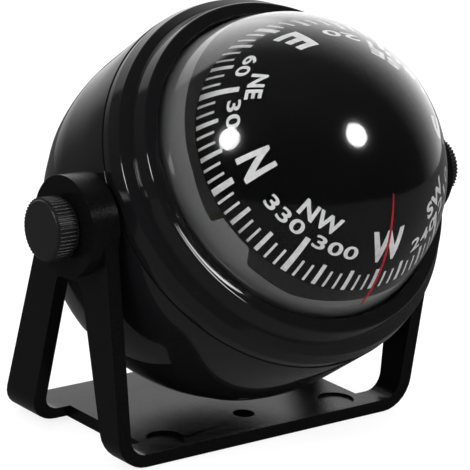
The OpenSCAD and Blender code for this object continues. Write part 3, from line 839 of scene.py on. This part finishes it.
# count, width in mm, length in degrees, first heading, lift above the card in mm
kinds = {"fine": (72, 0.41, 8.8, 0.0, 0.02), "middle": (24, 0.69, 11.0, 0.0, 0.03),
         "long": (4, 1.0, 18.8, 45.0, 0.04), "cardinal": (4, 1.05, 11.2, 0.0, 0.04)}
for kind, (count, width, length, first, lift) in kinds.items():
    piece = gn_object("marks_" + kind, marks, {
        "Count": count, "Width": width / (CARD_R * math.sin(WIDE_AT)),
        "Length": math.radians(length), "Rim": RIM, "Radius": (CARD_R + lift) * MM,
        "Start": math.radians(first + HEADING)})
    onto(piece, card_centre)
    place_piece(piece, "card", "card_plastic")

# %% [markdown]
# The letters and numbers on the card are print like the marks. They start as text with a little
# thickness, because Blender's own font has their outlines ready. Text can't be cut or bent, so
# it is made a mesh, and its faces are joined where they meet.
# %% Text as a mesh
FIRST_THICK = 0.01


def text_mesh(text, bold):
    """A text as one merged bmesh, in the font's own units; bold widens its outline."""
    curve = bpy.data.curves.new("label", "FONT")
    curve.body = text
    curve.extrude = FIRST_THICK
    curve.offset = bold
    curve.space_character = 1.08
    carrier = bpy.data.objects.new("label", curve)
    bpy.context.scene.collection.objects.link(carrier)
    graph = bpy.context.evaluated_depsgraph_get()
    mesh = bpy.data.meshes.new_from_object(carrier.evaluated_get(graph))
    bpy.data.objects.remove(carrier)
    bpy.data.curves.remove(curve)
    bm = bmesh.new()
    bm.from_mesh(mesh)
    bpy.data.meshes.remove(mesh)
    bmesh.ops.remove_doubles(bm, verts=bm.verts[:], dist=1e-5)
    return bm


print("text is set", FIRST_THICK, "thick")

# %% [markdown]
# A Shrinkwrap modifier would lay the letters on the card but pull them out of shape. Here each
# label is scaled to its measured width and height, cut into narrow strips so that it can bend, and
# wrapped round the card in the same way as the marks, with its top towards the pole.
# %% One label on the card
STRIP = 0.7
INK = 0.03
INK_LIFT = 0.01


def letters(text, heading, polar, width, height, bold):
    """A wrapped mesh of one label; width and height in millimetres, angles in degrees."""
    bm = text_mesh(text, bold)
    xs, ys = [v.co.x for v in bm.verts], [v.co.y for v in bm.verts]
    low, high = Vector((min(xs), min(ys))), Vector((max(xs), max(ys)))
    for v in bm.verts:
        v.co.x = ((v.co.x - low.x) / (high.x - low.x) - 0.5) * width
        v.co.y = ((v.co.y - low.y) / (high.y - low.y) - 0.5) * height
        v.co.z = INK if v.co.z > 0 else 0.0
    for axis, span in ((Vector((1, 0, 0)), width), (Vector((0, 1, 0)), height)):
        for k in range(1, int(span / STRIP) + 1):
            at = axis * (k * STRIP - span / 2)
            everything = bm.verts[:] + bm.edges[:] + bm.faces[:]
            bmesh.ops.bisect_plane(bm, geom=everything, plane_co=at, plane_no=axis)
    middle = math.radians(polar)
    for v in bm.verts:
        p = middle - v.co.y / CARD_R
        a = math.radians(heading + HEADING) - v.co.x / (CARD_R * math.sin(middle))
        reach = CARD_R + INK_LIFT + v.co.z
        v.co = Vector((-math.sin(p) * math.cos(a), math.sin(p) * math.sin(a), math.cos(p))) * reach
    bm.transform(in_metres(card_centre))
    return bm


print("labels are cut every", STRIP, "mm")

# %% [markdown]
# The eight winds stand in an inner ring and the degrees in an outer one. Each label has its
# heading, its angle from the pole, its width and height and how bold it is. The boldness is an
# offset of the outline, because a wider font would change the shapes as well.
# %% Dial letters and numbers
LETTER = 0.035
NUMBER = 0.02
labels = [("N", 1.5, 53.8, 3.9, 5.6, LETTER), ("E", 88.7, 53.4, 3.8, 5.5, LETTER),
          ("S", 180, 53.4, 3.9, 5.6, LETTER), ("W", -91.5, 54.4, 7.0, 5.4, LETTER),
          ("NE", 46.5, 51.2, 4.8, 2.7, LETTER), ("SE", 136, 49.0, 5.0, 2.7, LETTER),
          ("SW", -138, 51.5, 7.0, 2.8, LETTER), ("NW", -44.8, 48.4, 7.4, 2.8, LETTER),
          ("30", 31, 59.1, 4.9, 2.3, NUMBER), ("60", 60.6, 60.0, 4.6, 2.3, NUMBER),
          ("120", 118, 56.5, 7.4, 2.3, NUMBER), ("150", 149, 57.5, 7.6, 2.3, NUMBER),
          ("210", -151, 59.5, 7.6, 2.3, NUMBER), ("240", -122.5, 61.0, 7.6, 2.3, NUMBER),
          ("300", -60.8, 57.5, 7.9, 2.25, NUMBER), ("330", -28.5, 56.8, 7.5, 2.3, NUMBER)]
whole = bmesh.new()
for label in labels:
    part = letters(*label)
    mesh = bpy.data.meshes.new("part")
    part.to_mesh(mesh)
    part.free()
    whole.from_mesh(mesh)
    bpy.data.meshes.remove(mesh)
lettering = to_object("dial_letters", whole, [dial_white], 40)
place_piece(lettering, "card", "card_plastic")

# %% [markdown]
# The lubber line is the mark that the heading is read against: a thin red stripe on the dome, in
# the middle plane of the ball. Painted by a mask it would have no edge, so it is lofted along its
# arc with a shallow crown, and it narrows at both ends. The angles run from the dome's pole.
# %% Lubber line
LINE_STEPS = 48
LINE_START = 29
LINE_SPAN = 45.5
LINE_HALF = 0.24
CROWN = ((-1, 0.0), (-0.6, 0.11), (0, 0.14), (0.6, 0.11), (1, 0.0), (0, -0.02))
bm = bmesh.new()
rows = []
for k in range(LINE_STEPS + 1):
    polar = math.radians(LINE_START + LINE_SPAN * k / LINE_STEPS)
    widen = min(1.0, 0.35 + 2.2 * k / LINE_STEPS)
    half = LINE_HALF * widen * (1.0 if k < LINE_STEPS - 2 else (LINE_STEPS + 2 - k) / 4)
    row = []
    for across, lift in CROWN:
        r = DOME_R + lift
        point = Vector((across * half, -r * math.sin(polar), DOME_C + r * math.cos(polar)))
        row.append(bm.verts.new(in_metres(BALL) @ point))
    rows.append(row)
for low, high in zip(rows, rows[1:]):
    for i in range(len(CROWN)):
        n = (i + 1) % len(CROWN)
        bm.faces.new([low[i], low[n], high[n], high[i]])
bm.faces.new(rows[0])
bm.faces.new(rows[-1])
line = to_object("lubber_stripe", bm, [lubber_red], 50)
place_piece(line, "ball", "red_paint", "lubber_line")

# %% [markdown]
# The rear shell closes the ball. Its screw pockets and bores are exact in the CAD solid, so they
# aren't modelled again: the solid's mesh is copied and merged. A curved shell of long triangles
# mirrors badly, though, so the copy gets its normals from the sphere itself, which keeps the
# reflections smooth whatever the triangles look like.
# %% Rear shell
WELD = 0.002 * MM
NEAR = 0.03 * MM


def cad_copy(node_name, flat_angle):
    """A merged bmesh of a CAD node, with triangles joined that lie within an angle."""
    bm = bmesh.new()
    bm.from_mesh(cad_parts[node_name].data)
    bmesh.ops.remove_doubles(bm, verts=bm.verts[:], dist=WELD)
    bmesh.ops.dissolve_limit(bm, angle_limit=math.radians(flat_angle), verts=bm.verts[:],
                             edges=bm.edges[:])
    return bm


bm = cad_copy("rear_cap", 0.2)
rear_shell = to_object("rear_shell", bm, [body_black], 25, recalc=False)
middle = in_metres(BALL) @ Vector((0, 0, -ROUND_BACK))
mesh = rear_shell.data
normals = []
for polygon in mesh.polygons:
    for index in polygon.loop_indices:
        out = mesh.vertices[mesh.loops[index].vertex_index].co - middle
        on_ball = abs(out.length - (BODY_R - REAR_STEP) * MM) < NEAR
        radial = out.normalized()
        if on_ball and radial.dot(polygon.normal) > 0.9:
            normals.append(radial)
        else:
            normals.append(mesh.corner_normals[index].vector.copy())
mesh.normals_split_custom_set(normals)
place_piece(rear_shell, "ball", "body_plastic", "rear_cap")

# %% [markdown]
# The bracket is one moulding with windows, bosses and recesses, all of them exact in the CAD
# solid. A copy of it needs only soft edges, and a Bevel modifier gives every sharp edge the same
# small radius, as the mould does.
# %% Bracket
EDGE_R = 0.35
bm = cad_copy("bracket", 0.5)
bracket = to_object("moulded_bracket", bm, [bracket_black], 30, recalc=False)
bevel = bracket.modifiers.new("soft edges", "BEVEL")
bevel.width = EDGE_R * MM
bevel.segments = 3
bevel.limit_method = "ANGLE"
bevel.angle_limit = math.radians(35)
bevel.harden_normals = True
place_piece(bracket, "bracket", "bracket_plastic", "bracket")

# %% [markdown]
# Fine straight ribs run round the edge of each thumb screw. An Array modifier could turn one rib
# about an empty, but rods placed round a circle and half sunk into the disc need no second object,
# and one tree with named sizes serves both sides.
# %% The tree of the grip ribs
def ribs_tree(material):
    tree, given = gn_tree("grip ribs", {
        "Count": "NodeSocketInt", "Radius": "NodeSocketFloat", "Rib": "NodeSocketFloat",
        "Length": "NodeSocketFloat", "Height": "NodeSocketFloat"})
    circle = node(tree, "GeometryNodeMeshCircle",
                  {"Vertices": given["Count"], "Radius": given["Radius"]})
    rod = node(tree, "GeometryNodeMeshCylinder", {"Vertices": 8, "Radius": given["Rib"],
                                                  "Depth": given["Length"]})
    lift = node(tree, "ShaderNodeCombineXYZ", [0.0, 0.0, given["Height"]])
    placed = node(tree, "GeometryNodeInstanceOnPoints", {"Points": circle, "Instance": rod})
    raised = node(tree, "GeometryNodeTransform", {"Geometry": placed, "Translation": lift})
    real = node(tree, "GeometryNodeRealizeInstances", [raised])
    coloured = node(tree, "GeometryNodeSetMaterial", {"Geometry": real, "Material": material})
    node(tree, "NodeGroupOutput", {"Geometry": coloured})
    return tree


ribs = ribs_tree(knob_black)
print("inputs of the tree:", ", ".join(item.name for item in ribs.interface.items_tree))

# %% [markdown]
# Each side has a thumb screw with a plain round face, a washer under it, and a rubber friction
# washer between the ball and the arm. The screw rides on its own body and the washer on another,
# because the screw turns as it backs off and the washer only slides.
# %% Thumb screws and washers
KNOB_R = 5.3
KNOB_LOW = 39.2
KNOB_TOP = KNOB_LOW + 3.9
CORE_R = KNOB_R - 0.28
RIBS = 48
RIB_R = 0.22
RUBBER_TOP = 33.5
WASHER_R = 4.6
WASHER_LOW = 38.72
WASHER_TOP = 39.17
core = soften([(0.0, KNOB_LOW), (KNOB_R - 0.5, KNOB_LOW, 0.2), (CORE_R, KNOB_LOW + 0.5, 0.1),
               (CORE_R, KNOB_TOP - 0.45, 0.2), (KNOB_R - 0.6, KNOB_TOP, 0.35), (0.0, KNOB_TOP)])
rubber = flat_ring(HOLE_R, PAD_R, PAD_TOP, RUBBER_TOP, 0.1, 0.15)
washer = flat_ring(HOLE_R, WASHER_R, WASHER_LOW, WASHER_TOP, 0.08, 0.15)
for side in SIDE:
    knob = spun(side + "_knob_core", [core], SIDE[side], knob_black, 96)
    place_piece(knob, side + "_thumbscrew", "knob_plastic", side + "_knob")
    grip = gn_object(side + "_knob_ribs", ribs, {
        "Count": RIBS, "Radius": (KNOB_R - 0.24) * MM, "Rib": RIB_R * MM,
        "Length": (KNOB_TOP - KNOB_LOW - 0.75) * MM,
        "Height": (KNOB_LOW + KNOB_TOP) / 2 * MM})
    onto(grip, SIDE[side])
    place_piece(grip, side + "_thumbscrew", "knob_plastic")
    pad = spun(side + "_friction_ring", [rubber], SIDE[side], rubber_black, 96)
    place_piece(pad, "ball", "soft_rubber", side + "_friction_washer")
    ring = spun(side + "_knob_washer", [washer], SIDE[side], washer_black, 96)
    place_piece(ring, side + "_clamp", "washer_plastic", side + "_washer")

# %% [markdown]
# The other solids keep their CAD shape, which is already that of turned and stamped pieces. Most
# of them are sealed inside the ball; they still get a proper finish, because the model can be
# opened up or cut. A node keeps its own mesh, and only its material slots change.
# %% Finishes for the carried-over solids
carried = {"diaphragm_ring": brass, "filler_plug": brass, "pivot_post": brass,
           "pivot_needle": steel, "housing_screws": steel,
           "compensator_block": capsule_black, "block_screws": steel,
           "ns_spindle": brass, "ns_magnet": magnet_grey, "ew_spindle": brass,
           "ew_magnet": magnet_grey, "card_float": capsule_black, "jewel_hub": brass,
           "jewel_cup": jewel_red, "card_magnets": magnet_grey, "left_insert": brass,
           "right_insert": brass, "left_stud": steel, "right_stud": steel}
for name, material in carried.items():
    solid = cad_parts[name]
    if not solid.material_slots:
        solid.data.materials.append(material)
    for slot in solid.material_slots:
        slot.material = material
print("carried over:", len(carried))

# %% [markdown]
# Gloss black shows little but what it mirrors, so the room matters more than the lamps. It is
# bright to the right and behind, and dark on the camera's side, with one soft box above the back
# that shows in the upper left of the dome. Panels of mesh could stand there, but they would show in
# other views; a world that is worked out from directions does it without one. The camera itself
# sees plain white.
# %% Light of the room
BRIGHT_SIDE = (0.74, 0.62, 0.26)
SOFT_BOX = (0.155, 0.877, 0.454)
LIGHT_ABOVE = (0.1, 0.55, 0.83)


def ray_kinds(tree):
    """1 for a ray of the camera, and 1 for a ray that is mirrored but not bent."""
    is_camera = node(tree, "ShaderNodeLightPath", out="Is Camera Ray")
    is_bent = is_camera.other("Is Transmission Ray")
    return is_camera, is_camera.other("Is Glossy Ray") * (1 - is_bent)


def studio():
    """The world: one strength for what is mirrored, one for soft light, white for the camera."""
    world = bpy.data.worlds.new("studio")
    bpy.context.scene.world = world
    world.use_nodes = True
    tree = world.node_tree
    tree.nodes.clear()
    where = node(tree, "ShaderNodeTexCoord", out=0)
    room = ((dot(tree, where, BRIGHT_SIDE) - 0.45) * 2.2).positive() ** 2.0
    back = dot(tree, where, (0, 1, 0)).positive() * 0.07
    up = dot(tree, where, (0, 0, 1))
    box = dot(tree, where, SOFT_BOX).smooth(0.905, 0.935) * (up * up * 2.6 + 0.12)
    glossy = room + back + 0.03 + box
    diffuse = dot(tree, where, LIGHT_ABOVE).positive() * 1.3 + 0.5
    is_camera, is_glossy = ray_kinds(tree)
    strength = glossy * is_glossy + diffuse * (1 - is_glossy)
    strength = strength * (1 - is_camera) + is_camera
    shade = node(tree, "ShaderNodeBackground", {"Color": grey(1.0), "Strength": strength})
    node(tree, "ShaderNodeOutputWorld", {"Surface": shade})


studio()
print("world:", bpy.context.scene.world.name)

# %% [markdown]
# The floor is a wide white disc that takes the compass's shadow. A floor lit up to white would
# throw its light back onto the compass, so most of its white is shown to the camera alone, and
# its mirror image is a dark grey. Its radius and the lamps' places are in metres.
# %% Floor
FLOOR_R = 0.45


def floor_finish():
    material, tree, shader, place = finish("sweep white", grey(0.9), 0.9)
    grain = noise(tree, place, 30.0, 2.0)
    feed(tree, shader, "Base Color", mix(tree, grain, grey(0.89), grey(0.92)))
    is_camera, is_glossy = ray_kinds(tree)
    white = node(tree, "ShaderNodeEmission", {"Color": grey(1.0), "Strength": is_camera + 0.13})
    factor = is_camera * 0.72 + is_glossy
    both = node(tree, "ShaderNodeMixShader", [factor, Sock(tree, shader.outputs[0]), white])
    feed(tree, tree.nodes["Material Output"], "Surface", both)
    return material


bm = bmesh.new()
bmesh.ops.create_circle(bm, cap_ends=True, radius=FLOOR_R, segments=96)
floor = to_object("sweep_floor", bm, [floor_finish()])
floor.location.z = -0.2 * MM
print("floor: %.2f m across" % (2 * FLOOR_R))

# %% [markdown]
# Two round lamps make the two bright spots on the dome and the thin lines on the bezel. Round area
# lamps were chosen because a mirror shows a lamp's own shape. They stand off at the same distance,
# so their angles alone say where the spots fall.
# %% Lamps
LAMP_BASE = 0.05
LAMP_AIM = Vector((0, -0.01, LAMP_BASE))
LAMP_AWAY = 0.7
LAMP_SIZE = 0.18


def lamp(name, azimuth, elevation, power):
    """A round lamp; azimuth runs from the front to the right, both angles in degrees."""
    data = bpy.data.lights.new(name, "AREA")
    data.shape = "DISK"
    data.size = LAMP_SIZE
    data.energy = power
    data.diffuse_factor = 0.55
    a, e = math.radians(azimuth), math.radians(elevation)
    place = Vector((math.sin(a) * math.cos(e) * LAMP_AWAY, -math.cos(a) * math.cos(e) * LAMP_AWAY,
                    LAMP_BASE + math.sin(e) * LAMP_AWAY))
    facing = (place - LAMP_AIM).normalized().to_track_quat("Z", "Y").to_matrix().to_4x4()
    made = bpy.data.objects.new(name, data)
    made.matrix_world = Matrix.Translation(place) @ facing
    bpy.context.scene.collection.objects.link(made)


lamp("lamp left", -86, 30, 1.9)
lamp("lamp front", 19, 33.5, 2.1)
